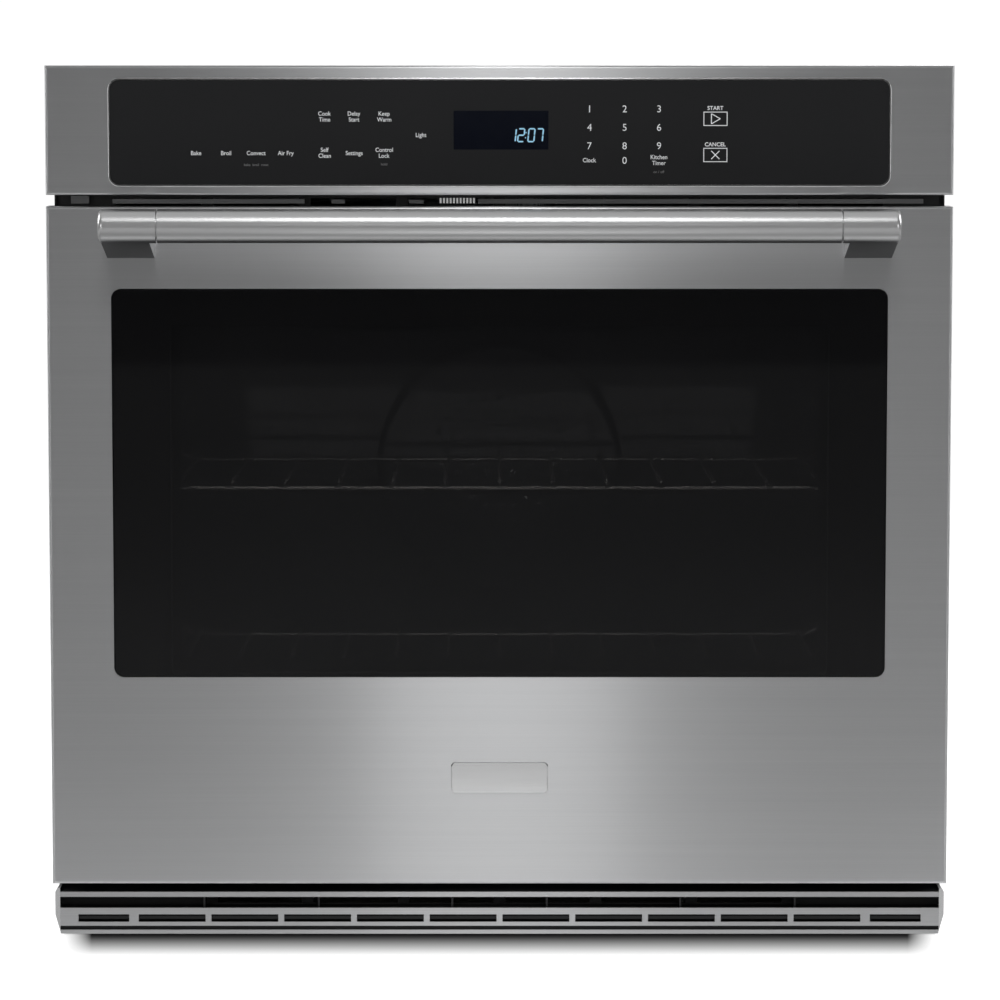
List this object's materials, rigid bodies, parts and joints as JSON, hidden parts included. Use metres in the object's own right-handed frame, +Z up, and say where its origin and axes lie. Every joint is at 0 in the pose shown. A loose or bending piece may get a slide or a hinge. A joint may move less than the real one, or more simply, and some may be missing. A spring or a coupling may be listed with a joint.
{
  "type": "built-in wall oven",
  "caption": "Built-in electric wall oven with a stainless drop-down door, round bar handle, dark window, glass touch panel, wire racks and a lower vent trim.",
  "frame": {"origin": "middle of the oven's width, on the underside of the base pan, in the plane where the front flange meets the cabinet face", "axes": "+X to the right seen from the front, +Y from the cabinet face into the cabinet, +Z up"},
  "size_m": [0.756, 0.686, 0.733],
  "materials": {
    "stainless": "horizontally brushed stainless steel",
    "handle_steel": "fine brushed and lightly polished stainless steel",
    "galvanised": "zinc-coated sheet with a faint spangle",
    "frame_paint": "satin black baked paint",
    "enamel": "blue-black speckled porcelain enamel",
    "bright_trim": "bright polished trim",
    "rack_wire": "nickel-plated steel wire",
    "touch_glass": "black back-printed touch glass",
    "window_glass": "grey-tinted oven glass with a black printed border",
    "pane_glass": "clear heat-resistant glass",
    "lamp_glass": "ribbed clear lamp glass",
    "glass_fibre": "pale glass-fibre blanket",
    "seal": "woven heat-proof door seal",
    "element": "dark oxidised heater sheath",
    "zinc_steel": "bright zinc-plated steel",
    "motor_metal": "motor stampings and windings",
    "fan_metal": "pressed aluminium",
    "board": "green circuit board with components",
    "black_plastic": "moulded black heat-resistant plastic",
    "white_plastic": "moulded white nylon"
  },
  "bodies": {
    "root": {"base_pan": "galvanised", "side_panels": "galvanised", "back_panel": "galvanised", "top_panel": "galvanised", "front_frame": "frame_paint", "chassis_screws": "zinc_steel", "oven_liner": "enamel", "insulation_top": "glass_fibre", "insulation_bottom": "glass_fibre", "insulation_sides": "glass_fibre", "insulation_back": "glass_fibre", "door_gasket": "seal", "bake_element": "element", "broil_element": "element", "broil_hangers": "zinc_steel", "convection_element": "element", "fan_cover": "enamel", "convection_motor": "motor_metal", "air_duct": "galvanised", "blower_housing": "galvanised", "blower_motor": "motor_metal", "lamp_housing": "zinc_steel", "lamp_lens": "lamp_glass", "temperature_sensor": "zinc_steel", "door_switch": "white_plastic", "latch_bracket": "galvanised", "latch_motor": "motor_metal", "control_fascia": "stainless", "control_bezel": "bright_trim", "control_glass": "touch_glass", "display_module": "black_plastic", "control_board": "board", "upper_vent_strip": "frame_paint", "bottom_vent_trim": "stainless", "vent_end_caps": "bright_trim", "junction_box": "galvanised", "conduit_connector": "zinc_steel", "hinge_receivers": "galvanised", "hinge_arms": "zinc_steel"},
    "door": {"door_outer_panel": "stainless", "door_top_trim": "black_plastic", "door_glass_outer": "window_glass", "window_panes": "pane_glass", "glass_pack_frame": "galvanised", "door_insulation": "glass_fibre", "door_liner": "enamel", "nameplate": "bright_trim", "handle_bar": "handle_steel", "handle_ends": "handle_steel", "handle_screws": "zinc_steel", "hinge_channels": "galvanised", "hinge_springs": "zinc_steel"},
    "spring_rods": {"spring_rods": "zinc_steel"},
    "upper_rack": {"upper_rack": "rack_wire"},
    "lower_rack": {"lower_rack": "rack_wire"},
    "convection_fan": {"convection_fan": "fan_metal"},
    "blower_wheel": {"blower_wheel": "fan_metal"},
    "latch_cam": {"latch_cam": "zinc_steel"},
    "latch_hook": {"latch_hook": "zinc_steel"},
    "switch_plunger": {"switch_plunger": "white_plastic"}
  },
  "joints": [
    {"name": "door_hinge", "type": "hinge", "parent": "root", "child": "door", "pos_m": [0, -0.032, 0.052], "axis": [1, 0, 0], "range_deg": [0, 90], "stiffness_Nm_per_rad": 22, "springref_deg": -16.04},
    {"name": "upper_rack_slide", "type": "slide", "parent": "root", "child": "upper_rack", "axis": [0, -1, 0], "range_m": [0, 0.335]},
    {"name": "lower_rack_slide", "type": "slide", "parent": "root", "child": "lower_rack", "axis": [0, -1, 0], "range_m": [0, 0.285]},
    {"name": "convection_fan_spin", "type": "hinge", "parent": "root", "child": "convection_fan", "pos_m": [0, 0.5, 0.352], "axis": [0, 1, 0], "continuous": true},
    {"name": "blower_spin", "type": "hinge", "parent": "root", "child": "blower_wheel", "pos_m": [0, 0.3, 0.668], "axis": [1, 0, 0], "continuous": true},
    {"name": "latch_cam_turn", "type": "hinge", "parent": "root", "child": "latch_cam", "pos_m": [0.024, 0.04, 0.595], "axis": [0, 0, 1], "range_deg": [0, 180]},
    {"name": "latch_hook_swing", "type": "hinge", "parent": "root", "child": "latch_hook", "pos_m": [0, 0.04, 0.59], "axis": [0, 0, 1], "range_deg": [0, 50.2]},
    {"name": "switch_plunger_slide", "type": "slide", "parent": "root", "child": "switch_plunger", "axis": [0, -1, 0], "range_m": [0, 0.004]},
    {"name": "spring_rod_slide", "type": "slide", "parent": "door", "child": "spring_rods", "axis": [0, 0, 1], "range_m": [0, 0.0202], "deforming": ["hinge_springs"]}
  ],
  "couplings": [
    {"joint": "upper_rack_slide", "follows": "door_hinge", "m_per_rad": 0.21},
    {"joint": "lower_rack_slide", "follows": "door_hinge", "m_per_rad": 0.18},
    {"joint": "switch_plunger_slide", "follows": "door_hinge", "m_per_rad": 0.0025},
    {"joint": "spring_rod_slide", "follows": "door_hinge", "m_per_rad": 0.0128},
    {"joint": "latch_hook_swing", "follows": "latch_cam_turn", "ratio": 0.2777}
  ]
}
